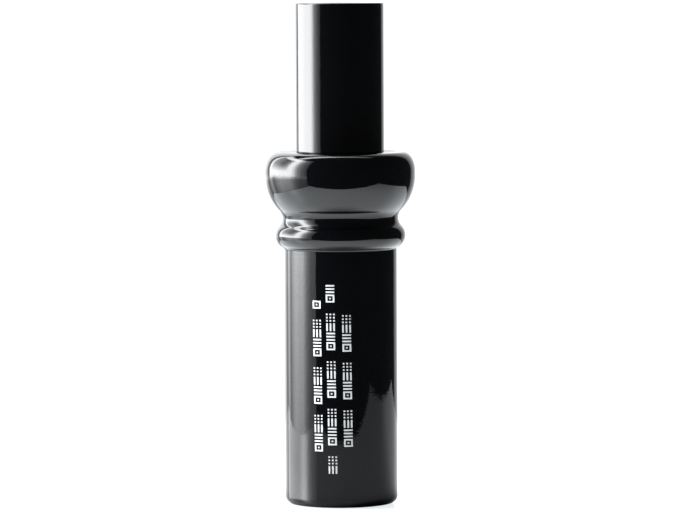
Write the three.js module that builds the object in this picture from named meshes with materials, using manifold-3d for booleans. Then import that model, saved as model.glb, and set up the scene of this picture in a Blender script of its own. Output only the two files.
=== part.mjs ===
// A single-reed duck call, standing on its mouthpiece. Millimetres, +Z up.
// The origin is the centre of the mouthpiece face, and the reed faces -Y.
//
// The barrel is one turned tube with a bead, a lanyard groove and a bulge at its top end.
// The insert plugs into it: an exhaust tube above the barrel, and below that a tenon with two
// O-rings, a slot for the cork wedge, and the tone board that the reed vibrates on.
import * as THREE from "three";
import { mergeVertices } from "three/addons/utils/BufferGeometryUtils.js";
import Module from "manifold-3d";

const wasm = await Module();
wasm.setup();

// ---------------------------------------------------------------- driving dimensions

const OVERALL_LENGTH = 127;
const AROUND = 64; // flats around a turned piece

const BARREL = {
  length: 89.3,
  radius: 14.3,
  lipFillet: 2,
  restInner: 11.2, // inside radius of the flat ring that the call stands on
  dishDepth: 1.9, // how far the mouthpiece is dished inside that ring
  mouthHole: 7.9,
  mouthHoleTo: 5.5,
  bore: 8.75,
  boreFrom: 8.5, // the bore has its full width above this height
  boreChamfer: 0.5,
  seatDepth: 0.4, // the top face is dished this far, down to the seat that the insert stands on
  seatRadius: 11.6,
};
const BEAD = { z: 68.2, section: 3.45, radius: 16.5 };
const GROOVE_FILLET = 2.85; // the hollow that a lanyard lies in
const BULGE = { radius: 19.05, z: 83.4, lowerArc: 12.7, shoulderIn: 3.1, shoulderUp: 4.8 };

const SEAT_Z = BARREL.length - BARREL.seatDepth;
const SEAT_GAP = 0.1; // between the barrel's seat and the insert's shoulder
const INSERT = {
  radius: 11.2,
  exhaustBore: 6,
  exhaustFrom: 82,
  throat: 3.4,
  throatTo: 74,
  bevel: 0.35,
};
const TENON = { radius: 8.6, relief: 8.2, from: 62 };
const O_RING = { heights: { upper: 83.4, lower: 74.6 }, height: 1.72, grooveRadius: 6.95, grooveWidth: 2.4 };

const BOARD = {
  radius: 8.3,
  tip: 19.4,
  face: -1, // y of the flat that the reed lies on
  flatFrom: 50, // below this height the face curves away from the reed
  tipDrop: 1.4, // how far it has curved away at the tip
  tipHalfWidth: 7.1,
  tipCorner: 3.4,
  taper: 9, // length over which the sides run in to the tip
};
const CHANNEL = { halfWidth: 3.2, centre: 1, rampFrom: 23.6, rampTo: 36 };
const SLOT = { rear: 69, rearHeight: 1.9, mouthHeight: 3.9 };
const REED = { thickness: 0.36, halfWidth: 7, corner: 2.4, rear: 68.6, clearance: 0.1 };
const CORK = { rear: 68.4, front: 55.4, halfWidth: 6.6, frontHeight: 3.7, frontSlope: 1.2, clearance: 0.25 };

// ---------------------------------------------------------------- helpers

const { degToRad, radToDeg } = THREE.MathUtils;
const point = (x, y) => new THREE.Vector2(x, y);

/** Points on an ellipse's arc between two angles in degrees, both ends included. */
function ellipseArc(centre, radiusX, radiusY, from, to, steps) {
  return Array.from({ length: steps + 1 }, (_, i) => {
    const angle = degToRad(from + ((to - from) * i) / steps);
    return point(centre.x + radiusX * Math.cos(angle), centre.y + radiusY * Math.sin(angle));
  });
}

/** Points on a circle's arc between two angles in degrees, both ends included. */
function arc(centre, radius, from, to, steps) {
  return ellipseArc(centre, radius, radius, from, to, steps);
}

/** The centre of a circle that touches two others from outside, on the side away from the axis. */
function touching(lower, upper, radius) {
  const toLower = lower.radius + radius;
  const toUpper = upper.radius + radius;
  const apart = upper.centre.clone().sub(lower.centre);
  const distance = apart.length();
  const along = (toLower ** 2 - toUpper ** 2 + distance ** 2) / (2 * distance);
  const aside = Math.sqrt(toLower ** 2 - along ** 2);
  const way = apart.normalize();
  const outward = point(way.y, -way.x);
  return lower.centre.clone().addScaledVector(way, along).addScaledVector(outward, aside);
}

/** The direction from one point to another, in degrees. */
function heading(from, to) {
  return radToDeg(Math.atan2(to.y - from.y, to.x - from.x));
}

/** A solid of revolution about Z. The profile holds (radius, z) points. */
function revolve(profile, around = AROUND) {
  return new THREE.LatheGeometry(profile, around).rotateX(Math.PI / 2);
}

/** The same for a profile that goes round a hole, closed back to its first point. */
function revolveRing(profile, around = AROUND) {
  return revolve([...profile, profile[0].clone()], around);
}

/** An outline of (x, y) points, extruded up Z. */
function upZ(outline, from, to) {
  const options = { depth: to - from, bevelEnabled: false };
  return new THREE.ExtrudeGeometry(new THREE.Shape(outline), options).translate(0, 0, from);
}

/** A side view of (z, y) points, extruded across X and centred on it. */
function acrossX(outline, halfWidth) {
  return upZ(outline, -halfWidth, halfWidth).rotateY(-Math.PI / 2);
}

/** A front view of (x, z) points, extruded along Y. */
function alongY(outline, from, to) {
  return upZ(outline, -to, -from).rotateX(Math.PI / 2);
}

/** A closed geometry as a manifold-3d solid. */
function solid(geometry) {
  const bare = new THREE.BufferGeometry();
  bare.setAttribute("position", geometry.getAttribute("position"));
  bare.setIndex(geometry.getIndex());
  const merged = mergeVertices(bare);
  const vertProperties = merged.attributes.position.array;
  const triVerts = new Uint32Array(merged.index.array);
  return new wasm.Manifold(new wasm.Mesh({ numProp: 3, vertProperties, triVerts }));
}

/** A manifold-3d solid as a geometry. */
function geometryOf(made) {
  const { vertProperties, triVerts } = made.getMesh();
  const geometry = new THREE.BufferGeometry();
  geometry.setAttribute("position", new THREE.BufferAttribute(vertProperties, 3));
  geometry.setIndex(new THREE.BufferAttribute(triVerts, 1));
  geometry.computeVertexNormals();
  return geometry;
}

// ---------------------------------------------------------------- barrel

/** Outside of the barrel, from the lip up: lip, straight tube, bead, groove, bulge. */
function barrelOutside() {
  const bead = { centre: point(BEAD.radius - BEAD.section, BEAD.z), radius: BEAD.section };
  const bulge = { centre: point(BULGE.radius - BULGE.lowerArc, BULGE.z), radius: BULGE.lowerArc };
  const groove = touching(bead, bulge, GROOVE_FILLET);
  const tubeMeetsBead = -radToDeg(Math.acos((BARREL.radius - bead.centre.x) / bead.radius));
  const beadTop = heading(bead.centre, groove);
  const bulgeFoot = heading(bulge.centre, groove);
  const lip = point(BARREL.radius - BARREL.lipFillet, BARREL.lipFillet);
  const shoulder = point(BULGE.radius - BULGE.shoulderIn, BARREL.length - BULGE.shoulderUp);
  return [
    ...arc(lip, BARREL.lipFillet, -90, 0, 5),
    ...arc(bead.centre, bead.radius, tubeMeetsBead, beadTop, 9),
    ...arc(groove, GROOVE_FILLET, beadTop - 180, bulgeFoot - 180, 6).slice(1),
    ...arc(bulge.centre, bulge.radius, bulgeFoot, 0, 7).slice(1),
    ...ellipseArc(shoulder, BULGE.shoulderIn, BULGE.shoulderUp, 0, 90, 7),
  ];
}

/** Inside of the barrel, from the top down: seat, chamfer, bore, mouth hole with a rounded lip, dish. */
function barrelInside() {
  const hole = BARREL.mouthHole;
  const dish = BARREL.dishDepth;
  return [
    point(BARREL.seatRadius, SEAT_Z),
    point(BARREL.bore + BARREL.boreChamfer, SEAT_Z),
    point(BARREL.bore, SEAT_Z - BARREL.boreChamfer),
    point(BARREL.bore, BARREL.boreFrom),
    point(hole, BARREL.mouthHoleTo),
    ...arc(point(hole + 0.9, dish + 0.9), 0.9, 180, 250, 3),
    point((hole + BARREL.restInner) / 2 + 0.5, dish / 2),
    point(BARREL.restInner, 0),
  ];
}

function barrel() {
  return revolveRing([...barrelOutside(), ...barrelInside()]);
}

// ---------------------------------------------------------------- insert

/** The turned insert, before anything is cut from it. */
function insertBlank() {
  const groove = (z) => {
    const below = z - O_RING.grooveWidth / 2;
    const above = z + O_RING.grooveWidth / 2;
    return [
      point(TENON.radius, below),
      point(O_RING.grooveRadius, below),
      point(O_RING.grooveRadius, above),
      point(TENON.radius, above),
    ];
  };
  const shoulder = SEAT_Z + SEAT_GAP;
  return revolve([
    point(0, BOARD.tip),
    point(BOARD.radius, BOARD.tip),
    point(BOARD.radius, TENON.from),
    point(TENON.radius, TENON.from + 1),
    ...groove(O_RING.heights.lower),
    ...groove(O_RING.heights.upper),
    point(TENON.radius, shoulder - 1),
    point(TENON.relief, shoulder - 0.6),
    point(TENON.relief, shoulder),
    point(INSERT.radius - INSERT.bevel, shoulder),
    point(INSERT.radius, shoulder + INSERT.bevel),
    point(INSERT.radius, OVERALL_LENGTH - INSERT.bevel),
    point(INSERT.radius - INSERT.bevel, OVERALL_LENGTH),
    point(0, OVERALL_LENGTH),
  ]);
}

/** The exhaust bore: wide at the open end, narrowing to a throat that meets the tone channel. */
function exhaustBore() {
  const throatFloor = INSERT.throatTo - 1.5;
  return revolve([
    point(0, throatFloor),
    point(INSERT.throat, throatFloor),
    point(INSERT.throat, INSERT.throatTo),
    point(INSERT.exhaustBore, INSERT.exhaustFrom),
    point(INSERT.exhaustBore, OVERALL_LENGTH - INSERT.bevel),
    point(INSERT.exhaustBore + INSERT.bevel, OVERALL_LENGTH),
    point(INSERT.exhaustBore + INSERT.bevel, OVERALL_LENGTH + 1),
    point(0, OVERALL_LENGTH + 1),
  ]);
}

/** y of the tone board's face at a height: flat by the cork, then a parabola away from the reed. */
function boardFace(z) {
  const below = Math.max(0, BOARD.flatFrom - z) / (BOARD.flatFrom - BOARD.tip);
  return BOARD.face + BOARD.tipDrop * below ** 2;
}

/** What is cut away on the reed's side: the space over the tone board, and the cork's slot. */
function reedSide() {
  const outside = -TENON.radius - 2;
  const belowTip = BOARD.tip - 2;
  const steps = 10;
  const curve = Array.from({ length: steps + 1 }, (_, i) => {
    const z = BOARD.tip + ((BOARD.flatFrom - BOARD.tip) * i) / steps;
    return point(z, boardFace(z));
  });
  const outline = [
    point(belowTip, outside),
    point(belowTip, boardFace(BOARD.tip)),
    ...curve,
    point(SLOT.rear, BOARD.face),
    point(SLOT.rear, BOARD.face - SLOT.rearHeight),
    point(TENON.from, BOARD.face - SLOT.mouthHeight),
    point(TENON.from, outside),
  ];
  return acrossX(outline, TENON.radius + 2);
}

/** The U-shaped tone channel. Near the tip its floor rises to the face in a J-shaped ramp. */
function toneChannel() {
  const { halfWidth, centre, rampFrom, rampTo } = CHANNEL;
  const above = BOARD.face - 1;
  const floor = centre + halfWidth;
  const round = arc(point(0, centre), halfWidth, 0, 180, 12);
  const sides = [point(halfWidth, above), ...round, point(-halfWidth, above)];
  const start = boardFace(rampFrom) - 0.2;
  const ramp = ellipseArc(point(rampTo, start), rampTo - rampFrom, floor - start, 180, 90, 8);
  const length = [point(rampFrom, above), ...ramp, point(SLOT.rear + 1, floor), point(SLOT.rear + 1, above)];
  return solid(upZ(sides, rampFrom, SLOT.rear)).intersect(solid(acrossX(length, halfWidth + 1)));
}

/** The drilled hole that joins the tone channel to the throat. */
function drilledHole() {
  const from = SLOT.rear - 2;
  const to = INSERT.throatTo + 2.5; // it breaks out in the cone above the throat
  const radius = CHANNEL.halfWidth - 0.02;
  return new THREE.CylinderGeometry(radius, radius, to - from, 24)
    .rotateX(Math.PI / 2)
    .translate(0, CHANNEL.centre, (from + to) / 2);
}

/** Front view of the insert's width: it tapers to a tone board with a rounded tip. */
function boardWidth() {
  const { tip, tipHalfWidth, tipCorner, taper } = BOARD;
  const wide = INSERT.radius + 2;
  const top = OVERALL_LENGTH + 1;
  return [
    point(wide, top),
    point(-wide, top),
    point(-wide, tip + taper),
    ...arc(point(tipCorner - tipHalfWidth, tip + tipCorner), tipCorner, 180, 270, 6),
    ...arc(point(tipHalfWidth - tipCorner, tip + tipCorner), tipCorner, 270, 360, 6),
    point(wide, tip + taper),
  ];
}

function insert() {
  const deep = INSERT.radius + 2;
  const made = solid(insertBlank())
    .intersect(solid(alongY(boardWidth(), -deep, deep)))
    .subtract(solid(reedSide()))
    .subtract(toneChannel())
    .subtract(solid(drilledHole()))
    .subtract(solid(exhaustBore()));
  return geometryOf(made);
}

// ---------------------------------------------------------------- pieces on the insert

/** An O-ring, squeezed between its groove and the bore. */
function oRing(z) {
  const gap = 0.06;
  const outer = BARREL.bore - gap;
  const inner = O_RING.grooveRadius + gap;
  const centre = point((outer + inner) / 2, z);
  const section = ellipseArc(centre, (outer - inner) / 2, O_RING.height / 2, 0, 360, 10).slice(1);
  return revolveRing(section, 48);
}

/** The reed: a flat plastic blade with clipped corners at its free end. */
function reed() {
  const { halfWidth, corner, rear, thickness, clearance } = REED;
  const back = BOARD.face - clearance;
  const outline = [
    point(halfWidth, rear),
    point(-halfWidth, rear),
    point(-halfWidth, BOARD.tip + corner),
    point(corner - halfWidth, BOARD.tip),
    point(halfWidth - corner, BOARD.tip),
    point(halfWidth, BOARD.tip + corner),
  ];
  return alongY(outline, back - thickness, back);
}

/** The cork wedge, pressed into its slot so that it clamps the reed to the tone board. */
function corkWedge() {
  const { rear, front, halfWidth, frontHeight, frontSlope, clearance } = CORK;
  const under = BOARD.face - REED.clearance - REED.thickness - REED.clearance;
  const slope = (SLOT.mouthHeight - SLOT.rearHeight) / (SLOT.rear - TENON.from);
  const top = (z) => BOARD.face - SLOT.rearHeight - slope * (SLOT.rear - z) + clearance;
  const side = [
    point(front, under),
    point(rear, under),
    point(rear, top(rear)),
    point(front + frontSlope, top(front + frontSlope)),
    point(front, under - frontHeight),
  ];
  const width = new THREE.CylinderGeometry(BOARD.radius, BOARD.radius, 2 * (rear - front), 48)
    .rotateX(Math.PI / 2)
    .translate(0, 0, (rear + front) / 2);
  return geometryOf(solid(acrossX(side, halfWidth)).intersect(solid(width)));
}

// ---------------------------------------------------------------- assembly

function piece(name, geometry, color, roughness) {
  const mesh = new THREE.Mesh(geometry, new THREE.MeshStandardMaterial({ color, roughness }));
  mesh.name = name;
  return mesh;
}

const ACRYLIC = 0x0a0a0c;
const RUBBER = 0x141414;
const MYLAR = 0xe6e8e2;
const CORK_BROWN = 0xb98a5a;

const call = new THREE.Group();
call.add(piece("barrel", barrel(), ACRYLIC, 0.06));
call.add(piece("insert", insert(), ACRYLIC, 0.06));
call.add(piece("upper_o_ring", oRing(O_RING.heights.upper), RUBBER, 0.55));
call.add(piece("lower_o_ring", oRing(O_RING.heights.lower), RUBBER, 0.55));
call.add(piece("reed", reed(), MYLAR, 0.35));
call.add(piece("cork_wedge", corkWedge(), CORK_BROWN, 0.9));

export default call;
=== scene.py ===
"""A polished black duck call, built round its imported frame.

Metres, +Z up. The call stands on its mouthpiece at z = 0, with its axis on the Z axis and its reed
towards -Y, where the camera is.
"""
import math

import bmesh
import bpy
import numpy as np
from mathutils import Matrix, Vector, noise


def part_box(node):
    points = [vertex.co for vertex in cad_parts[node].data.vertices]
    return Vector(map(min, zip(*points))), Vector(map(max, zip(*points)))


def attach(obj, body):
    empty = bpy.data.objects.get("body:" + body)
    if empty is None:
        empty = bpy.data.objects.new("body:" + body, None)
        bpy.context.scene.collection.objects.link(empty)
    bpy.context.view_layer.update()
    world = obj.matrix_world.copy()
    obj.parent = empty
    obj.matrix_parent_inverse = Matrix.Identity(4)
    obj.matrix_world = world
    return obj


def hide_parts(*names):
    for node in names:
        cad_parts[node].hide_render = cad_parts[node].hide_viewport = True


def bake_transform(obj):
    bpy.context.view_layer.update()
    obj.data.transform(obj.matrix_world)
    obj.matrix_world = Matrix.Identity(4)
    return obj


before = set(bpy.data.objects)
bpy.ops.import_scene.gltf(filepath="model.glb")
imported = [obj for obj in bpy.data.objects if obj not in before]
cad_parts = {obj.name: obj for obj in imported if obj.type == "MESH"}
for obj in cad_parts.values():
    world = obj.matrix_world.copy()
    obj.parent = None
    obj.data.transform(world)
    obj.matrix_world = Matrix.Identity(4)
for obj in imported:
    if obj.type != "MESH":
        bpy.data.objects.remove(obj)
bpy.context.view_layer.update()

MM = 0.001

# ---------------------------------------------------------------- sizes taken from the frame

BARREL_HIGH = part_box("barrel")[1]
INSERT_LOW, INSERT_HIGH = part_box("insert")
REED_LOW, REED_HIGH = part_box("reed")
CORK_LOW, CORK_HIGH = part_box("cork_wedge")

TOP = INSERT_HIGH.z
BARREL_TOP = BARREL_HIGH.z
BULGE_RADIUS = BARREL_HIGH.x
INSERT_RADIUS = INSERT_HIGH.x
BOARD_TIP = INSERT_LOW.z

# ---------------------------------------------------------------- sizes of the turned profiles

TUBE_RADIUS = 14.3 * MM
LIP_FILLET = 2 * MM
BORE = 8.75 * MM
BORE_FROM = 8.5 * MM
BORE_CHAMFER = 0.5 * MM
BORE_ROW = 5 * MM
MOUTH_HOLE = 7.9 * MM
MOUTH_HOLE_TO = 5.5 * MM
MOUTH_HOLE_LIP = 0.9 * MM
REST_INNER = 11.2 * MM
DISH_DEPTH = 1.9 * MM
DISH_CROWN = 0.5 * MM  # how far out of the straight line the middle of the mouthpiece's dish lies
BEAD_Z = 68.2 * MM
BEAD_SECTION = 3.45 * MM
BEAD_RADIUS = 16.5 * MM
BEAD_CORNER = 0.45 * MM
GROOVE_FILLET = 2.85 * MM
BULGE_Z = 83.4 * MM
BULGE_LOWER_ARC = 12.7 * MM
SHOULDER_IN = 3.1 * MM
SHOULDER_UP = 4.8 * MM
SEAT_DEPTH = 0.4 * MM
SEAT_RADIUS = 11.6 * MM
SEAT_Z = BARREL_TOP - SEAT_DEPTH

EXHAUST_BORE = 6 * MM
EXHAUST_FROM = 82 * MM
THROAT = 3.4 * MM
THROAT_TO = 74 * MM
THROAT_FROM = THROAT_TO - 1.5 * MM
END_ROUND = 0.35 * MM
SEAT_GAP = 0.1 * MM
INSERT_SHOULDER = SEAT_Z + SEAT_GAP
SEAT_ROUND = 0.4 * MM
RELIEF_DEPTH = 0.4 * MM
RELIEF_LENGTH = 1 * MM
RELIEF_STRAIGHT = 0.6 * MM
TENON_RADIUS = 8.6 * MM
TENON_FROM = 62 * MM
TENON_SLOPE = 1 * MM
RING_GROOVE_RADIUS = 6.95 * MM
RING_GROOVE_WIDTH = 2.4 * MM
BOARD_RADIUS = 8.3 * MM
BOARD_FACE = -1 * MM
BOARD_FLAT_FROM = 50 * MM
BOARD_TIP_DROP = 1.4 * MM
BOARD_TIP_HALF_WIDTH = 7.1 * MM
BOARD_TIP_CORNER = 3.4 * MM
BOARD_TAPER = 9 * MM
CHANNEL_HALF_WIDTH = 3.2 * MM
CHANNEL_CENTRE = 1 * MM
RAMP_FROM = 23.6 * MM
RAMP_TO = 36 * MM
RAMP_START_ABOVE = 0.2 * MM
RAMP_REACH = 6 * MM  # to each side, wider than the channel
SLOT_REAR = 69 * MM
HOLE_FROM = SLOT_REAR - 2 * MM
HOLE_TO = THROAT_TO + 2.5 * MM
HOLE_HALF_WIDTH = CHANNEL_HALF_WIDTH - 0.02 * MM
SLOT_REAR_HEIGHT = 1.9 * MM
SLOT_MOUTH_HEIGHT = 3.9 * MM
PAST = 1 * MM  # how far a cutting shape reaches past the face that it cuts

RING_FLASH = 0.03 * MM
RING_SQUARENESS = 0.8
REED_CORNER = 2.4 * MM
REED_EDGE = 0.06 * MM
REED_END_THICKNESS = 0.85  # shares of the full thickness and width, at the ends
REED_TIP_WIDTH = 0.98
REED_REAR_WIDTH = 0.99
CORK_FRONT_SLOPE = 1.2 * MM
CORK_FRONT_DROP = 0.93 * MM
CORK_GRAIN = 0.16 * MM

# ---------------------------------------------------------------- camera

CAMERA_DISTANCE = 1.158
CAMERA_HEIGHT = 0.135
AIM = Vector((-0.00013, 0, 0.0631))
LENS = 242
SENSOR_WIDTH = 36
CAMERA_ROLL = math.radians(-0.28)


def add_camera():
    data = bpy.data.cameras.new("camera")
    data.lens = LENS
    data.sensor_width = SENSOR_WIDTH
    data.clip_start = 0.01
    camera = bpy.data.objects.new("camera", data)
    camera.location = (AIM.x, -CAMERA_DISTANCE, CAMERA_HEIGHT)
    facing = (AIM - camera.location).to_track_quat("-Z", "Y").to_matrix()
    rolled = facing @ Matrix.Rotation(CAMERA_ROLL, 3, "Z")
    camera.rotation_euler = rolled.to_euler()
    bpy.context.scene.collection.objects.link(camera)
    bpy.context.scene.camera = camera


add_camera()

# ---------------------------------------------------------------- outlines


def ellipse_arc(centre, radius_x, radius_z, start, end, steps):
    """Points (radius, z) on an ellipse between two angles in degrees, both ends included."""
    angles = np.radians(np.linspace(start, end, steps + 1))
    return [(centre[0] + radius_x * math.cos(a), centre[1] + radius_z * math.sin(a)) for a in angles]


def arc(centre, radius, start, end, steps):
    return ellipse_arc(centre, radius, radius, start, end, steps)


EDGE_ROW = 0.04 * MM  # a narrow row at each end of a straight stretch keeps its shading straight


def straight(radius, low, high, row):
    """Points up a straight stretch, neither end included.

    The rows at its ends are narrow, and the rows between are equal.
    """
    low += EDGE_ROW
    high -= EDGE_ROW
    count = max(1, math.floor((high - low) / row))
    points = [(radius, low + row * i) for i in range(count + 1)]
    if high - points[-1][1] > EDGE_ROW:
        points.append((radius, high))
    return points


def heading(start, end):
    return math.degrees(math.atan2(end[1] - start[1], end[0] - start[0]))


def touching(lower, lower_radius, upper, upper_radius, radius):
    """The centre of a circle that touches two others from outside, on the side away from the axis."""
    lower = np.array(lower)
    apart = np.array(upper) - lower
    distance = np.linalg.norm(apart)
    to_lower = lower_radius + radius
    to_upper = upper_radius + radius
    along = (to_lower**2 - to_upper**2 + distance**2) / (2 * distance)
    aside = math.sqrt(to_lower**2 - along**2)
    way = apart / distance
    return tuple(lower + along * way + aside * np.array((way[1], -way[0])))


# ---------------------------------------------------------------- mesh helpers

SHARP_ANGLE = 32  # edges sharper than this many degrees stay sharp
FINE_SHARP_ANGLE = 28
SAME_PLACE = 1e-7


def new_object(name, mesh):
    piece = bpy.data.objects.new(name, mesh)
    bpy.context.scene.collection.objects.link(piece)
    return piece


def shade(mesh, sharp_angle=SHARP_ANGLE):
    """Smooth shading, with the edges sharper than this angle left sharp."""
    mesh.polygons.foreach_set("use_smooth", [True] * len(mesh.polygons))
    mesh.set_sharp_from_angle(angle=math.radians(sharp_angle))


def from_bmesh(name, made, sharp_angle=SHARP_ANGLE):
    bmesh.ops.recalc_face_normals(made, faces=made.faces)
    mesh = bpy.data.meshes.new(name)
    made.to_mesh(mesh)
    made.free()
    shade(mesh, sharp_angle)
    return new_object(name, mesh)


def turned_point(radius, angle, z):
    return Vector((radius * math.cos(angle), radius * math.sin(angle), z))


def revolve(profile, around, ring, lean=lambda z: 0):
    """A bmesh turned from (radius, z) points, and its columns of vertices.

    A ring's profile closes on itself, and any other starts and ends on the axis. lean gives how far
    the columns turn at a height.
    """
    made = bmesh.new()
    columns = []
    for i in range(around):
        angle = 2 * math.pi * i / around
        columns.append([made.verts.new(turned_point(r, angle + lean(z), z)) for r, z in profile])
    count = len(profile)
    for i, column in enumerate(columns):
        following = columns[(i + 1) % around]
        for j in range(count if ring else count - 1):
            k = (j + 1) % count
            made.faces.new((column[j], following[j], following[k], column[k]))
    if not ring:
        for j in (0, count - 1):
            end = [column[j] for column in columns]
            bmesh.ops.pointmerge(made, verts=end, merge_co=(0, 0, profile[j][1]))
        bmesh.ops.dissolve_degenerate(made, dist=SAME_PLACE, edges=made.edges)
    return made, columns


def turned(name, profile, around, ring, sharp_angle=SHARP_ANGLE):
    return from_bmesh(name, revolve(profile, around, ring)[0], sharp_angle)


def prism(outline, axis, start, end):
    """A closed prism of a flat outline, from start to end along an axis: 0, 1 or 2."""
    made = bmesh.new()
    ends = []
    for place in (start, end):
        corners = [np.insert(np.array(p, float), axis, place) for p in outline]
        ends.append([made.verts.new(c) for c in corners])
    made.faces.new(ends[0])
    made.faces.new(list(reversed(ends[1])))
    for i in range(len(outline)):
        j = (i + 1) % len(outline)
        made.faces.new((ends[0][i], ends[1][i], ends[1][j], ends[0][j]))
    return made


def loft(rings):
    """A closed skin through rings of points, all with the same number of points."""
    made = bmesh.new()
    rows = [[made.verts.new(point) for point in ring] for ring in rings]
    made.faces.new(rows[0])
    made.faces.new(list(reversed(rows[-1])))
    count = len(rows[0])
    for lower, upper in zip(rows, rows[1:]):
        for i in range(count):
            j = (i + 1) % count
            made.faces.new((lower[i], upper[i], upper[j], lower[j]))
    return made


def apply_modifiers(piece):
    bpy.context.view_layer.update()
    evaluated = piece.evaluated_get(bpy.context.evaluated_depsgraph_get())
    mesh = bpy.data.meshes.new_from_object(evaluated)
    piece.modifiers.clear()
    piece.data = mesh
    mesh.name = piece.name


def boolean(base, tool, operation):
    """Joins or cuts base with tool, and takes tool away."""
    modifier = base.modifiers.new(operation, "BOOLEAN")
    modifier.operation = operation
    modifier.solver = "EXACT"
    modifier.object = tool
    apply_modifiers(base)
    bpy.data.objects.remove(tool)


# ---------------------------------------------------------------- node helpers


class Nodes:
    """Short ways to write a node tree."""

    def __init__(self, tree):
        self.tree = tree
        tree.nodes.clear()

    def add(self, kind, inputs=None, **settings):
        node = self.tree.nodes.new(kind)
        for name, value in settings.items():
            setattr(node, name, value)
        for name, value in (inputs or {}).items():
            self.set(node.inputs[name], value)
        return node

    def set(self, socket, value):
        if isinstance(value, bpy.types.NodeSocket):
            self.tree.links.new(value, socket)
        else:
            socket.default_value = value

    def math(self, operation, *values):
        node = self.tree.nodes.new("ShaderNodeMath")
        node.operation = operation
        for socket, value in zip(node.inputs, values):
            self.set(socket, value)
        return node.outputs[0]

    def times(self, *values):
        total = values[0]
        for value in values[1:]:
            total = self.math("MULTIPLY", total, value)
        return total

    def smooth(self, value, low, high, start=0.0, end=1.0):
        """Rises smoothly from start to end as value goes from low to high."""
        inputs = {"Value": value, "From Min": low, "From Max": high, "To Min": start, "To Max": end}
        node = self.add("ShaderNodeMapRange", inputs, interpolation_type="SMOOTHSTEP")
        return node.outputs["Result"]

    def curve(self, value, points):
        """A line through (value, height) points, level outside them."""
        peak = max(height for _, height in points)
        low = points[0][0]
        high = points[-1][0]
        share = self.add("ShaderNodeMapRange", {"Value": value, "From Min": low, "From Max": high})
        ramp = self.add("ShaderNodeValToRGB", {"Fac": share.outputs["Result"]})
        stops = ramp.color_ramp.elements
        for i, (place, height) in enumerate(points):
            at = (place - low) / (high - low)
            stop = stops[i] if i < 2 else stops.new(at)
            stop.position = at
            grey = height / peak
            stop.color = (grey, grey, grey, 1)
        return self.math("MULTIPLY", ramp.outputs["Color"], peak)

    def noise(self, coordinates, scale, detail=3.0, roughness=0.5):
        inputs = {"Vector": coordinates, "Scale": scale, "Detail": detail, "Roughness": roughness}
        return self.add("ShaderNodeTexNoise", inputs).outputs["Fac"]

    def mix(self, factor, first, second):
        """A colour between two colours."""
        node = self.add("ShaderNodeMix", data_type="RGBA")
        self.set(node.inputs[0], factor)
        for socket, value in ((node.inputs[6], first), (node.inputs[7], second)):
            self.set(socket, value if isinstance(value, bpy.types.NodeSocket) else (*value, 1))
        return node.outputs[2]


def new_material(name):
    material = bpy.data.materials.new(name)
    material.use_nodes = True
    nodes = Nodes(material.node_tree)
    shader = nodes.add("ShaderNodeBsdfPrincipled")
    output = nodes.add("ShaderNodeOutputMaterial")
    nodes.tree.links.new(shader.outputs["BSDF"], output.inputs["Surface"])
    coordinates = nodes.add("ShaderNodeTexCoord").outputs["Object"]
    return material, nodes, shader, coordinates


def stretched(nodes, coordinates, scale):
    return nodes.add("ShaderNodeMapping", {"Vector": coordinates, "Scale": scale}).outputs["Vector"]


def bump(nodes, shader, height, strength, distance):
    inputs = {"Height": height, "Strength": strength, "Distance": distance}
    nodes.set(shader.inputs["Normal"], nodes.add("ShaderNodeBump", inputs).outputs["Normal"])


# ---------------------------------------------------------------- materials

ACRYLIC_IOR = 1.49
POLYESTER_IOR = 1.6
# depths of the fine relief on each surface
BUFFING_WAVES = 4e-6
TOOL_MARKS = 2e-5
ENAMEL_GRAIN = 2e-5
RUBBER_GRAIN = 2e-5
SANDING_MARKS = 5e-6
CORK_RELIEF = 8e-5


def polished_acrylic():
    """Black acrylic, turned and buffed to a mirror.

    It keeps faint turning lines, slow waves, buffing haze, hairline scratches and specks of dust.
    """
    material, nodes, shader, at = new_material("polished_black_acrylic")
    shader.inputs["IOR"].default_value = ACRYLIC_IOR
    cloud = nodes.noise(at, 60.0, 2.0)
    colour = nodes.mix(cloud, (0.0014, 0.0018, 0.0024), (0.0022, 0.0025, 0.0033))
    nodes.set(shader.inputs["Base Color"], colour)
    haze = nodes.noise(at, 160.0, 3.0)
    hairlines = nodes.noise(stretched(nodes, at, (900.0, 900.0, 40.0)), 1.0, 2.0, 0.7)
    rings = nodes.noise(stretched(nodes, at, (60.0, 60.0, 3600.0)), 1.0, 1.0)
    streaks = nodes.noise(stretched(nodes, at, (1500.0, 1500.0, 260.0)), 1.0, 1.0)
    ripple = nodes.noise(at, 1500.0, 1.0)
    specks = nodes.noise(at, 5200.0, 0.0)
    hazy = nodes.smooth(haze, 0.4, 0.75, 0.015, 0.04)
    scratched = nodes.smooth(hairlines, 0.68, 0.8, 0.0, 0.04)
    dusty = nodes.smooth(specks, 0.78, 0.82, 0.0, 0.25)
    rough = nodes.math("ADD", nodes.math("ADD", hazy, scratched), dusty)
    nodes.set(shader.inputs["Roughness"], rough)
    waves = nodes.math("MULTIPLY_ADD", streaks, 1.8, nodes.math("MULTIPLY", rings, 0.4))
    bump(nodes, shader, nodes.math("MULTIPLY_ADD", ripple, 0.6, waves), 1.0, BUFFING_WAVES)
    return material


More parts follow.
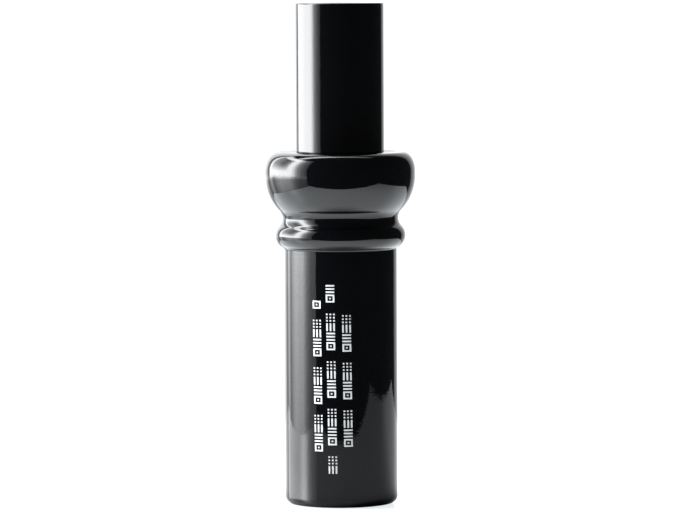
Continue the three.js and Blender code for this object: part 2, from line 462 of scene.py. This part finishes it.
def turned_acrylic():
    """The same acrylic where it was only bored, turned or milled: satin, with close tool marks."""
    material, nodes, shader, at = new_material("turned_black_acrylic")
    shader.inputs["IOR"].default_value = ACRYLIC_IOR
    lines = nodes.noise(stretched(nodes, at, (90.0, 90.0, 5200.0)), 1.0, 2.0, 0.7)
    patches = nodes.noise(at, 320.0, 3.0)
    colour = nodes.mix(patches, (0.004, 0.0042, 0.0046), (0.011, 0.0112, 0.0118))
    nodes.set(shader.inputs["Base Color"], colour)
    satin = nodes.smooth(patches, 0.3, 0.7, 0.2, 0.32)
    marked = nodes.smooth(lines, 0.4, 0.7, 0.0, 0.14)
    nodes.set(shader.inputs["Roughness"], nodes.math("ADD", satin, marked))
    bump(nodes, shader, lines, 0.3, TOOL_MARKS)
    return material


def mark_enamel():
    """White enamel wiped into the engraved marks."""
    material, nodes, shader, at = new_material("mark_enamel")
    patches = nodes.noise(at, 1400.0, 2.0)
    nodes.set(shader.inputs["Base Color"], nodes.mix(patches, (0.74, 0.75, 0.76), (0.93, 0.93, 0.92)))
    nodes.set(shader.inputs["Roughness"], nodes.smooth(patches, 0.3, 0.7, 0.35, 0.6))
    bump(nodes, shader, nodes.noise(at, 4200.0), 0.35, ENAMEL_GRAIN)
    return material


def nitrile_rubber():
    """Moulded black rubber with a trace of grease."""
    material, nodes, shader, at = new_material("black_nitrile_rubber")
    grain = nodes.noise(at, 6000.0, 2.0)
    grease = nodes.noise(at, 420.0, 3.0)
    nodes.set(shader.inputs["Base Color"], nodes.mix(grease, (0.009, 0.009, 0.0092), (0.02, 0.0195, 0.019)))
    nodes.set(shader.inputs["Roughness"], nodes.smooth(grease, 0.35, 0.65, 0.3, 0.58))
    bump(nodes, shader, grain, 0.35, RUBBER_GRAIN)
    return material


def frosted_film():
    """Clear polyester film, frosted by sanding along its length."""
    material, nodes, shader, at = new_material("frosted_polyester_film")
    shader.inputs["IOR"].default_value = POLYESTER_IOR
    shader.inputs["Transmission Weight"].default_value = 0.35
    sanding = nodes.noise(stretched(nodes, at, (6500.0, 6500.0, 260.0)), 1.0, 3.0, 0.7)
    smears = nodes.noise(at, 240.0, 3.0)
    nodes.set(shader.inputs["Base Color"], nodes.mix(smears, (0.7, 0.73, 0.7), (0.84, 0.85, 0.82)))
    frosted = nodes.smooth(smears, 0.3, 0.7, 0.3, 0.42)
    sanded = nodes.smooth(sanding, 0.3, 0.7, 0.0, 0.14)
    nodes.set(shader.inputs["Roughness"], nodes.math("ADD", frosted, sanded))
    bump(nodes, shader, sanding, 0.25, SANDING_MARKS)
    return material


def raw_cork():
    """Cork: pale tan grains in darker seams, with dark brown pores."""
    material, nodes, shader, at = new_material("raw_cork")
    grains = nodes.add("ShaderNodeTexVoronoi", {"Vector": at, "Scale": 1300.0})
    tint = nodes.add("ShaderNodeSeparateColor", {"Color": grains.outputs["Color"]}).outputs["Red"]
    grain = nodes.mix(tint, (0.36, 0.185, 0.075), (0.58, 0.35, 0.17))
    edges = nodes.add("ShaderNodeTexVoronoi", {"Vector": at, "Scale": 1300.0}, feature="DISTANCE_TO_EDGE")
    seam = nodes.smooth(edges.outputs["Distance"], 0.0, 0.12, 1.0, 0.0)
    seamed = nodes.mix(nodes.math("MULTIPLY", seam, 0.55), grain, (0.2, 0.09, 0.035))
    pores = nodes.smooth(nodes.noise(at, 620.0, 2.0, 0.6), 0.6, 0.68)
    nodes.set(shader.inputs["Base Color"], nodes.mix(pores, seamed, (0.09, 0.038, 0.016)))
    nodes.set(shader.inputs["Roughness"], nodes.smooth(tint, 0.0, 1.0, 0.8, 0.95))
    bump(nodes, shader, nodes.math("SUBTRACT", edges.outputs["Distance"], pores), 0.6, CORK_RELIEF)
    return material


# ---------------------------------------------------------------- engraved marks

AROUND = 200  # columns of faces round a turned piece
FRONT_COLUMN = 150  # the column that starts straight ahead, on -Y
MARK_CELL = 5  # a mark is this many columns wide and this many rows high
MARK_PITCH = MARK_CELL + 1
MARK_ROW = 0.4 * MM
MARK_DEPTH = 0.15 * MM
ENAMEL_TOP = 0.02 * MM  # how far the enamel's face lies below the acrylic's
ENAMEL_BACK = 0.145 * MM
# Each line of marks: degrees to the right of the front, lowest z and highest z.
MARK_LINES = [(6, 15.6 * MM, 50.4 * MM), (-9, 8.9 * MM, 56.9 * MM), (-24, 12 * MM, 53.8 * MM)]
MARK_SHAPES = [
    lambda row, column: max(abs(row - 2), abs(column - 2)) % 2 == 0,  # a square in a square
    lambda row, column: row % 2 == 0,  # bars across
    lambda row, column: column % 2 == 0,  # bars along
    lambda row, column: row % 2 == 0 and column % 2 == 0,  # dots
    lambda row, column: False,  # a space
]
LEAN = math.radians(-3)  # how far the lines of marks turn over the tube's length
LEAN_FROM = LIP_FILLET
LEAN_TO = 64 * MM


def mark_lean(z):
    share = (z - LEAN_FROM) / (LEAN_TO - LEAN_FROM)
    return LEAN * (min(1, max(0, share)) - 0.5)


def marked_faces(first_row, first_z):
    """The (column, row) faces of the barrel's tube that are engraved.

    Row first_row starts at the height first_z.
    """
    faces = set()
    for line, (angle, low, high) in enumerate(MARK_LINES):
        left = FRONT_COLUMN + round(angle * AROUND / 360 - MARK_CELL / 2)
        bottom = first_row + round((low - first_z) / MARK_ROW)
        for cell in range(int((high - low) / (MARK_PITCH * MARK_ROW))):
            engraved = MARK_SHAPES[(cell + 2 * line) % len(MARK_SHAPES)]
            for row in range(MARK_CELL):
                for column in range(MARK_CELL):
                    if engraved(row, column):
                        faces.add((left + column, bottom + cell * MARK_PITCH + row))
    return faces


def corners_of(face):
    i, j = face
    return ((i, j), (i + 1, j), (i + 1, j + 1), (i, j + 1))


def sides_of(face):
    """Each neighbour of a face, with the two corners between them."""
    i, j = face
    corners = corners_of(face)
    neighbours = ((i, j - 1), (i + 1, j), (i, j + 1), (i - 1, j))
    return [(neighbour, corners[k], corners[(k + 1) % 4]) for k, neighbour in enumerate(neighbours)]


def sunk_corners(made, place_of, faces, depth):
    """A new vertex under each corner of the faces, this far below the surface."""
    sunk = {}
    for corner in sorted({corner for face in faces for corner in corners_of(face)}):
        place = place_of(corner)
        inward = Vector((place.x, place.y, 0)).normalized()
        sunk[corner] = made.verts.new(place - inward * depth)
    return sunk


def join_sides(made, faces, upper, lower):
    for face in sorted(faces):
        for neighbour, start, end in sides_of(face):
            if neighbour not in faces:
                made.faces.new((upper[start], upper[end], lower[end], lower[start]))


def engrave(made, columns, faces):
    """Sinks these faces of a turned bmesh into pockets."""
    top = {corner: columns[corner[0]][corner[1]] for face in faces for corner in corners_of(face)}
    floor = sunk_corners(made, lambda corner: top[corner].co, faces, MARK_DEPTH)
    for face in sorted(faces):
        corners = corners_of(face)
        made.faces.remove(made.faces.get([top[corner] for corner in corners]))
        made.faces.new([floor[corner] for corner in corners])
    join_sides(made, faces, top, floor)


def enamel_fill(place_of, faces):
    """The enamel in the pockets, as closed solids."""
    made = bmesh.new()
    top = sunk_corners(made, place_of, faces, ENAMEL_TOP)
    back = sunk_corners(made, place_of, faces, ENAMEL_BACK)
    for face in sorted(faces):
        corners = corners_of(face)
        made.faces.new([top[corner] for corner in corners])
        made.faces.new([back[corner] for corner in reversed(corners)])
    join_sides(made, faces, top, back)
    return from_bmesh("mark_enamel", made, FINE_SHARP_ANGLE)


# ---------------------------------------------------------------- barrel

LIP_STEPS = 12


def barrel_outside():
    """(radius, z) from the lip up to the top's crest: lip, straight tube, bead, groove, bulge."""
    bead = (BEAD_RADIUS - BEAD_SECTION, BEAD_Z)
    bulge = (BULGE_RADIUS - BULGE_LOWER_ARC, BULGE_Z)
    groove = touching(bead, BEAD_SECTION, bulge, BULGE_LOWER_ARC, GROOVE_FILLET)
    corner_x = TUBE_RADIUS + BEAD_CORNER
    corner_drop = math.sqrt((BEAD_SECTION + BEAD_CORNER) ** 2 - (corner_x - bead[0]) ** 2)
    corner = (corner_x, BEAD_Z - corner_drop)
    bead_start = heading(bead, corner)
    bead_end = heading(bead, groove)
    bulge_start = heading(bulge, groove)
    lip = (TUBE_RADIUS - LIP_FILLET, LIP_FILLET)
    shoulder = (BULGE_RADIUS - SHOULDER_IN, BARREL_TOP - SHOULDER_UP)
    return [
        *arc(lip, LIP_FILLET, -90, 0, LIP_STEPS),
        *straight(TUBE_RADIUS, LIP_FILLET, corner[1], MARK_ROW),
        *arc(corner, BEAD_CORNER, 180, bead_start + 180, 4),
        *arc(bead, BEAD_SECTION, bead_start, bead_end, 30)[1:],
        *arc(groove, GROOVE_FILLET, bead_end - 180, bulge_start - 180, 20)[1:],
        *arc(bulge, BULGE_LOWER_ARC, bulge_start, 0, 26)[1:],
        *ellipse_arc(shoulder, SHOULDER_IN, SHOULDER_UP, 0, 90, 26),
    ]


def barrel_inside():
    """(radius, z) from the dished top down the bore to the ring that the call stands on."""
    crest = np.array((BULGE_RADIUS - SHOULDER_IN, BARREL_TOP))
    seat = np.array((SEAT_RADIUS, SEAT_Z))
    chamfer_z = SEAT_Z - BORE_CHAMFER
    return [
        *[tuple(crest + (seat - crest) * share) for share in (0.01, 0.5, 0.99, 1)],
        *arc((BORE + BORE_CHAMFER, chamfer_z), BORE_CHAMFER, 90, 180, 5),
        *reversed(straight(BORE, BORE_FROM, chamfer_z, BORE_ROW)),
        (BORE, BORE_FROM),
        (MOUTH_HOLE, MOUTH_HOLE_TO),
        *arc((MOUTH_HOLE + MOUTH_HOLE_LIP, DISH_DEPTH + MOUTH_HOLE_LIP), MOUTH_HOLE_LIP, 180, 250, 8),
        ((MOUTH_HOLE + REST_INNER) / 2 + DISH_CROWN, DISH_DEPTH / 2),
        (REST_INNER, 0),
    ]


def use_second_material(piece, inside):
    """Gives the second material to the faces whose centre is inside."""
    for face in piece.data.polygons:
        face.material_index = int(inside(face.center))


def barrel_pieces():
    made, columns = revolve(barrel_outside() + barrel_inside(), AROUND, ring=True, lean=mark_lean)
    first_row = LIP_STEPS + 1
    faces = marked_faces(first_row, columns[0][first_row].co.z)
    places = {}
    for i, column in enumerate(columns):
        for j, vertex in enumerate(column):
            places[i, j] = vertex.co.copy()
    engrave(made, columns, faces)
    body = from_bmesh("barrel_body", made, FINE_SHARP_ANGLE)
    use_second_material(body, lambda at: at.xy.length < SEAT_RADIUS and at.z > MOUTH_HOLE_TO)
    return body, enamel_fill(lambda corner: places[corner], faces)


# ---------------------------------------------------------------- insert


def board_face(z):
    """The y of the tone board's face at a height: flat, then curving away towards the tip."""
    below = max(0, BOARD_FLAT_FROM - z) / (BOARD_FLAT_FROM - BOARD_TIP)
    return BOARD_FACE + BOARD_TIP_DROP * below**2


def ring_groove(node):
    low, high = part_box(node)
    below = (low.z + high.z - RING_GROOVE_WIDTH) / 2
    above = below + RING_GROOVE_WIDTH
    return [
        (TENON_RADIUS, below),
        (RING_GROOVE_RADIUS, below),
        (RING_GROOVE_RADIUS, above),
        (TENON_RADIUS, above),
    ]


def insert_blank():
    """The turned insert, before anything is cut from it."""
    shoulder = INSERT_SHOULDER
    relief = TENON_RADIUS - RELIEF_DEPTH
    profile = [
        (0, BOARD_TIP),
        (BOARD_RADIUS, BOARD_TIP),
        (BOARD_RADIUS, TENON_FROM),
        (TENON_RADIUS, TENON_FROM + TENON_SLOPE),
        *ring_groove("lower_o_ring"),
        *ring_groove("upper_o_ring"),
        (TENON_RADIUS, shoulder - RELIEF_LENGTH),
        (relief, shoulder - RELIEF_STRAIGHT),
        (relief, shoulder),
        *arc((INSERT_RADIUS - SEAT_ROUND, shoulder + SEAT_ROUND), SEAT_ROUND, -90, 0, 8),
        *straight(INSERT_RADIUS, shoulder + SEAT_ROUND, TOP - END_ROUND, 2 * MM),
        *arc((INSERT_RADIUS - END_ROUND, TOP - END_ROUND), END_ROUND, 0, 90, 6),
        (0, TOP),
    ]
    return turned("insert_body", profile, AROUND, ring=False)


def exhaust_bore():
    """A cutting shape: the bore from the open end, narrowing to the throat."""
    profile = [
        (0, THROAT_FROM),
        (THROAT, THROAT_FROM),
        (THROAT, THROAT_TO),
        (EXHAUST_BORE, EXHAUST_FROM),
        *arc((EXHAUST_BORE + END_ROUND, TOP - END_ROUND), END_ROUND, 180, 90, 5),
        (EXHAUST_BORE + END_ROUND, TOP + PAST),
        (0, TOP + PAST),
    ]
    return turned("exhaust_bore", profile, 120, ring=False)


def board_width():
    """What is kept of the blank, seen from the front: all of it, with the tip tapered and rounded."""
    wide = INSERT_RADIUS + 2 * PAST
    top = TOP + PAST
    corner_z = BOARD_TIP + BOARD_TIP_CORNER
    corner_x = BOARD_TIP_HALF_WIDTH - BOARD_TIP_CORNER
    outline = [
        (wide, top),
        (-wide, top),
        (-wide, BOARD_TIP + BOARD_TAPER),
        *arc((-corner_x, corner_z), BOARD_TIP_CORNER, 180, 270, 16),
        *arc((corner_x, corner_z), BOARD_TIP_CORNER, 270, 360, 16),
        (wide, BOARD_TIP + BOARD_TAPER),
    ]
    return from_bmesh("board_width", prism(outline, 1, -wide, wide))


def reed_side():
    """A cutting shape: everything in front of the tone board's face, and the cork's slot."""
    wide = TENON_RADIUS + 2 * PAST
    outside = -TENON_RADIUS - 2 * PAST
    below_tip = BOARD_TIP - 2 * PAST
    curve = [(board_face(z), z) for z in np.linspace(BOARD_TIP, BOARD_FLAT_FROM, 33)]
    outline = [
        (outside, below_tip),
        (board_face(BOARD_TIP), below_tip),
        *curve,
        (BOARD_FACE, SLOT_REAR),
        (BOARD_FACE - SLOT_REAR_HEIGHT, SLOT_REAR),
        (BOARD_FACE - SLOT_MOUTH_HEIGHT, TENON_FROM),
        (outside, TENON_FROM),
    ]
    return from_bmesh("reed_side", prism(outline, 0, outside, wide))


def tone_channel():
    """A cutting shape: the round-floored channel, which rises to the face in a curved ramp."""
    above = BOARD_FACE - PAST
    floor = CHANNEL_CENTRE + CHANNEL_HALF_WIDTH
    round_floor = arc((0, CHANNEL_CENTRE), CHANNEL_HALF_WIDTH, 0, 180, 40)
    section = [(CHANNEL_HALF_WIDTH, above), *round_floor, (-CHANNEL_HALF_WIDTH, above)]
    channel = from_bmesh("tone_channel", prism(section, 2, RAMP_FROM, SLOT_REAR))
    start = board_face(RAMP_FROM) - RAMP_START_ABOVE
    ramp = ellipse_arc((RAMP_TO, start), RAMP_TO - RAMP_FROM, floor - start, 180, 90, 30)
    outline = [
        (above, RAMP_FROM),
        *[(y, z) for z, y in ramp],
        (floor, SLOT_REAR + PAST),
        (above, SLOT_REAR + PAST),
    ]
    length = from_bmesh("channel_length", prism(outline, 0, -RAMP_REACH, RAMP_REACH))
    boolean(channel, length, "INTERSECT")
    return channel


def drilled_hole():
    """A cutting shape: the hole that joins the channel to the throat."""
    round_hole = arc((0, CHANNEL_CENTRE), HOLE_HALF_WIDTH, 0, 360, 64)[1:]
    return from_bmesh("drilled_hole", prism(round_hole, 2, HOLE_FROM, HOLE_TO))


def insert_body():
    piece = insert_blank()
    boolean(piece, board_width(), "INTERSECT")
    boolean(piece, reed_side(), "DIFFERENCE")
    boolean(piece, tone_channel(), "DIFFERENCE")
    boolean(piece, drilled_hole(), "DIFFERENCE")
    boolean(piece, exhaust_bore(), "DIFFERENCE")
    shade(piece.data, FINE_SHARP_ANGLE)
    tenon_top = INSERT_SHOULDER + 0.01 * MM
    use_second_material(piece, lambda at: at.z < tenon_top or at.xy.length < EXHAUST_BORE)
    return piece


# ---------------------------------------------------------------- pieces on the insert


def o_ring(node):
    """A rubber ring, a little squared by its groove, with a faint mould line inside and out."""
    low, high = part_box(node)
    outer = high.x
    inner = RING_GROOVE_RADIUS + (BORE - outer)
    middle = (outer + inner) / 2
    half_width = (outer - inner) / 2 - RING_FLASH
    half_height = (high.z - low.z) / 2
    centre_z = (low.z + high.z) / 2
    section = []
    for angle in np.radians(np.arange(0, 360, 10)):
        c, s = math.cos(angle), math.sin(angle)
        squared = math.copysign(abs(c) ** RING_SQUARENESS, c)
        on_mould_line = abs(s) < 0.01
        line = math.copysign(RING_FLASH if on_mould_line else 0, c)
        section.append((middle + half_width * squared + line, centre_z + half_height * s))
    return turned(node + "_rubber", section, AROUND, ring=True, sharp_angle=60)


def middle_of_reed():
    """The y of the middle of the reed's thickness."""
    return (REED_LOW.y + REED_HIGH.y) / 2


def reed_half_width(z):
    """Half the reed's width at a height: full, with clipped corners at the free end."""
    return min(REED_HIGH.x, REED_HIGH.x - REED_CORNER + (z - REED_LOW.z))


def reed_section(z, edge):
    """The reed's outline at a height, as eight points, with its long edges eased."""
    wide = reed_half_width(z) - edge
    thick_low = REED_LOW.y + edge
    thick_high = REED_HIGH.y - edge
    corners = ((wide, thick_low), (wide, thick_high), (-wide, thick_high), (-wide, thick_low))
    points = []
    for (x, y), start in zip(corners, (-90, 0, 90, 180)):
        for angle in (start, start + 90):
            a = math.radians(angle)
            points.append((x + REED_EDGE * math.cos(a), y + REED_EDGE * math.sin(a), z))
    return points


def reed_end(z, width_share):
    """The reed's end face at a height, a little smaller than the section beside it."""
    middle = middle_of_reed() * (1 - REED_END_THICKNESS)
    section = reed_section(z, REED_EDGE)
    return [(x * width_share, y * REED_END_THICKNESS + middle, z) for x, y, _ in section]


def reed_blade():
    ends = (REED_LOW.z, REED_HIGH.z)
    clip = np.linspace(ends[0] + REED_EDGE, ends[0] + REED_CORNER, 5)
    blade = np.linspace(ends[0] + REED_CORNER, ends[1] - REED_EDGE, 90)
    rings = [reed_section(z, REED_EDGE) for z in [*clip, *blade[1:]]]
    tip = reed_end(ends[0], REED_TIP_WIDTH)
    rear = reed_end(ends[1], REED_REAR_WIDTH)
    return from_bmesh("reed_blade", loft([tip, *rings, rear]), 40)


def cork_body():
    """The cork wedge: cut to shape, then its edges softened and its pores sunk."""
    slope = (SLOT_MOUTH_HEIGHT - SLOT_REAR_HEIGHT) / (SLOT_REAR - TENON_FROM)
    crest = CORK_LOW.z + CORK_FRONT_SLOPE
    crest_top = CORK_LOW.y
    side = [
        (CORK_HIGH.y, CORK_LOW.z),
        (CORK_HIGH.y, CORK_HIGH.z),
        (crest_top + slope * (CORK_HIGH.z - crest), CORK_HIGH.z),
        (crest_top, crest),
        (crest_top + CORK_FRONT_DROP, CORK_LOW.z),
    ]
    piece = from_bmesh("cork_body", prism(side, 0, CORK_LOW.x, CORK_HIGH.x))
    board_round = [(0, 0), (BOARD_RADIUS, 0), (BOARD_RADIUS, TOP), (0, TOP)]
    boolean(piece, turned("cork_width", board_round, AROUND, ring=False), "INTERSECT")
    grain = piece.modifiers.new("grain", "REMESH")
    grain.mode = "VOXEL"
    grain.voxel_size = CORK_GRAIN
    soften = piece.modifiers.new("soften", "SMOOTH")
    soften.factor = 0.5
    soften.iterations = 4
    apply_modifiers(piece)
    sink_pores(piece.data)
    shade(piece.data, 180)
    return piece


GRAIN_SCALE = 1400
GRAIN_DEPTH = 0.03 * MM
PORE_SCALE = 600
PORE_PLACE = Vector((3, 7, 1))
PORE_LEVEL = 0.25  # the noise is a pore above this level
PORE_DEPTH = 0.7 * MM


def sink_pores(mesh):
    """Moves the surface in at pores and seams, never out."""
    moves = []
    for vertex in mesh.vertices:
        fine = noise.noise(vertex.co * GRAIN_SCALE)
        pore = max(0, noise.noise(vertex.co * PORE_SCALE + PORE_PLACE) - PORE_LEVEL)
        depth = GRAIN_DEPTH * (0.5 + fine) + PORE_DEPTH * pore
        moves.append(vertex.normal * max(0, depth))
    for vertex, move in zip(mesh.vertices, moves):
        vertex.co -= move


# ---------------------------------------------------------------- studio

# Brightness of the studio by bearing and by height, both in degrees. A bearing is 0 towards the
# front and grows to the left. The big soft light stands to the left, with a dark lamp head in it,
# and below it is its reflection in the table round the board. A bright wall stands behind. The
# narrow light overhead runs from left to right: its tilt is in degrees forward from straight up,
# and its place across is the x of the unit vector that points at it.
SOFTBOX_ACROSS = [
    (51.5, 0), (53, 0.7), (61, 1.8), (67, 3.6), (70, 5.3), (73.5, 9), (77, 15), (82, 19),
    (90, 18.5), (100, 16), (111, 14), (121, 11), (132, 8), (137, 7), (140, 0.8), (150, 0.8),
    (153, 0),
]
SOFTBOX_UP = [(-3.2, 0), (-2.4, 1), (46, 1), (50, 0)]
TABLE_ACROSS = [
    (51.5, 0), (53, 1.2), (63, 1.5), (70, 2.4), (75, 3.6), (80.6, 6), (84, 7.6), (104, 7),
    (111, 5.3), (119, 3.05), (122, 1.9), (124, 1.9), (127, 2.6), (132, 4), (137, 2.3), (142, 0.85),
    (147, 1.4), (153, 0.4),
]
TABLE_UP = [
    (-26, 0.28), (-20, 0.42), (-15, 0.48), (-6, 0.6), (-4.7, 0.85), (-4.15, 1), (-3.2, 1.35),
    (-2.4, 0),
]
LAMP_ACROSS = [
    (87, 0), (93, 0.75), (100, 0.95), (108, 1), (118, 0.87), (127, 0.8), (131, 0.7), (134, 0),
]
LAMP_UP = [(2, 0), (8, 0.4), (15, 0.75), (22, 0.88), (38, 0.92), (41, 0)]
BEHIND_LEFT_ACROSS = [(147, 0), (152, 1), (172, 0.8), (180, 0.5)]
BEHIND_LEFT_UP = [(-12, 0.7), (0, 2.2), (30, 3), (45, 5), (65, 7), (72, 0.3)]
BEHIND_RIGHT_ACROSS = [(-180, 1.4), (-155, 0.85), (-142, 0.55), (-138, 0)]
BEHIND_RIGHT_UP = [(60, 1), (75, 0.2)]
OVERHEAD_TILT = [(-12, 0), (-8, 1), (0, 1), (3, 0)]
OVERHEAD_ACROSS = [(-0.75, 0), (-0.55, 12), (-0.25, 10), (0.05, 4), (0.3, 2), (0.5, 0)]
DARK = 0.04
BACKDROP = 1.1
SOFTBOX_COLOUR = (0.97, 0.985, 1.0, 1)
WHITE = (1, 1, 1, 1)


def studio_world():
    """The lights as the object reflects them, and a plain white backdrop for the camera."""
    world = bpy.data.worlds.new("studio")
    bpy.context.scene.world = world
    world.use_nodes = True
    nodes = Nodes(world.node_tree)
    direction = nodes.add("ShaderNodeTexCoord").outputs["Generated"]
    parts = nodes.add("ShaderNodeSeparateXYZ", {"Vector": direction}).outputs
    left = nodes.math("MULTIPLY", parts["X"], -1.0)
    front = nodes.math("MULTIPLY", parts["Y"], -1.0)
    bearing = nodes.math("DEGREES", nodes.math("ARCTAN2", left, front))
    height = nodes.math("DEGREES", nodes.math("ARCSINE", parts["Z"]))
    tilt = nodes.math("DEGREES", nodes.math("ARCTAN2", front, parts["Z"]))
    lamp = nodes.times(nodes.curve(bearing, LAMP_ACROSS), nodes.curve(height, LAMP_UP))
    softbox = nodes.times(nodes.curve(bearing, SOFTBOX_ACROSS), nodes.curve(height, SOFTBOX_UP))
    lights = (
        nodes.times(softbox, nodes.math("SUBTRACT", 1.0, lamp)),
        nodes.times(nodes.curve(bearing, TABLE_ACROSS), nodes.curve(height, TABLE_UP)),
        nodes.times(nodes.curve(bearing, BEHIND_LEFT_ACROSS), nodes.curve(height, BEHIND_LEFT_UP)),
        nodes.times(nodes.curve(bearing, BEHIND_RIGHT_ACROSS), nodes.curve(height, BEHIND_RIGHT_UP)),
        nodes.times(nodes.curve(tilt, OVERHEAD_TILT), nodes.curve(parts["X"], OVERHEAD_ACROSS)),
    )
    total = DARK
    for light in lights:
        total = nodes.math("ADD", total, light)
    seen = nodes.add("ShaderNodeLightPath").outputs["Is Camera Ray"]
    lit = nodes.add("ShaderNodeBackground", {"Color": SOFTBOX_COLOUR, "Strength": total})
    backdrop = nodes.add("ShaderNodeBackground", {"Color": WHITE, "Strength": BACKDROP})
    both = nodes.add("ShaderNodeMixShader", {0: seen, 1: lit.outputs[0], 2: backdrop.outputs[0]})
    nodes.add("ShaderNodeOutputWorld", {"Surface": both.outputs[0]})


STAGE_LEFT = -0.19
STAGE_RIGHT = 0.3
STAGE_FRONT = -0.172
STAGE_BACK = 0.2
STAGE_THICKNESS = 0.006
STAGE_IOR = 1.5
STAGE_COLOUR = (0.42, 0.42, 0.42, 1)
STAGE_GLOW_COLOUR = (0.93, 0.99, 1.03, 1)
STAGE_FILL = 0.8  # what the camera sees is lit by this much more


def board():
    """The small white board that the call stands on.

    It glows as if lit from the left and from behind, less under the call, and less where it is
    seen at a low angle, where it mirrors the studio instead.
    """
    outline = [
        (STAGE_LEFT, STAGE_FRONT),
        (STAGE_RIGHT, STAGE_FRONT),
        (STAGE_RIGHT, STAGE_BACK),
        (STAGE_LEFT, STAGE_BACK),
    ]
    piece = from_bmesh("board", prism(outline, 2, -STAGE_THICKNESS, 0))
    material, nodes, shader, at = new_material("white_board")
    shader.inputs["Base Color"].default_value = STAGE_COLOUR
    shader.inputs["Emission Color"].default_value = STAGE_GLOW_COLOUR
    place = nodes.add("ShaderNodeSeparateXYZ", {"Vector": at}).outputs
    away = nodes.add("ShaderNodeVectorMath", {"Vector": at}, operation="LENGTH").outputs["Value"]
    # painted shadow: the board's glow fades out round the call's foot and is gone within 14 mm of its axis
    outside_painted_shadow = nodes.smooth(away, 0.014, 0.05)
    # painted light: the glow is stronger to the left and towards the back
    from_left = nodes.smooth(place["X"], -0.2, 0.25, 2.25, 1.3)
    from_behind = nodes.smooth(place["Y"], -0.03, 0.06, 0, 0.45)
    mirrored = nodes.add("ShaderNodeFresnel", {"IOR": STAGE_IOR}).outputs["Fac"]
    matt = nodes.math("SUBTRACT", 1.0, mirrored)
    glow = nodes.math("ADD", nodes.times(from_left, matt, matt, matt), from_behind)
    glow = nodes.times(glow, outside_painted_shadow)
    seen = nodes.add("ShaderNodeLightPath").outputs["Is Camera Ray"]
    nodes.set(shader.inputs["Emission Strength"], nodes.math("MULTIPLY_ADD", seen, STAGE_FILL, glow))
    nodes.set(shader.inputs["Roughness"], nodes.smooth(place["X"], -0.12, 0.0, 0.25, 0.19))
    piece.data.materials.append(material)


# ---------------------------------------------------------------- assembly


def finish_piece(piece, materials, body, slot, *nodes):
    """Gives a piece its materials and its body, and hides the CAD nodes that it stands for. The slot is not
    used.
    """
    piece.data.materials.clear()
    for material in materials:
        piece.data.materials.append(material)
    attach(piece, body)
    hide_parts(*nodes)


bpy.context.scene.view_settings.view_transform = "Standard"
polished = polished_acrylic()
machined = turned_acrylic()
rubber = nitrile_rubber()

barrel, enamel = barrel_pieces()
finish_piece(barrel, [polished, machined], "barrel", "barrel_acrylic", "barrel")
finish_piece(enamel, [mark_enamel()], "barrel", None)
finish_piece(insert_body(), [polished, machined], "insert", "insert_acrylic", "insert")
for ring_node in ("upper_o_ring", "lower_o_ring"):
    finish_piece(o_ring(ring_node), [rubber], "o_rings", "o_ring_rubber", ring_node)
finish_piece(cork_body(), [raw_cork()], "insert", "cork", "cork_wedge")

reed = reed_blade()
reed.data.materials.append(frosted_film())
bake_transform(reed)
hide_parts("reed")

studio_world()
board()
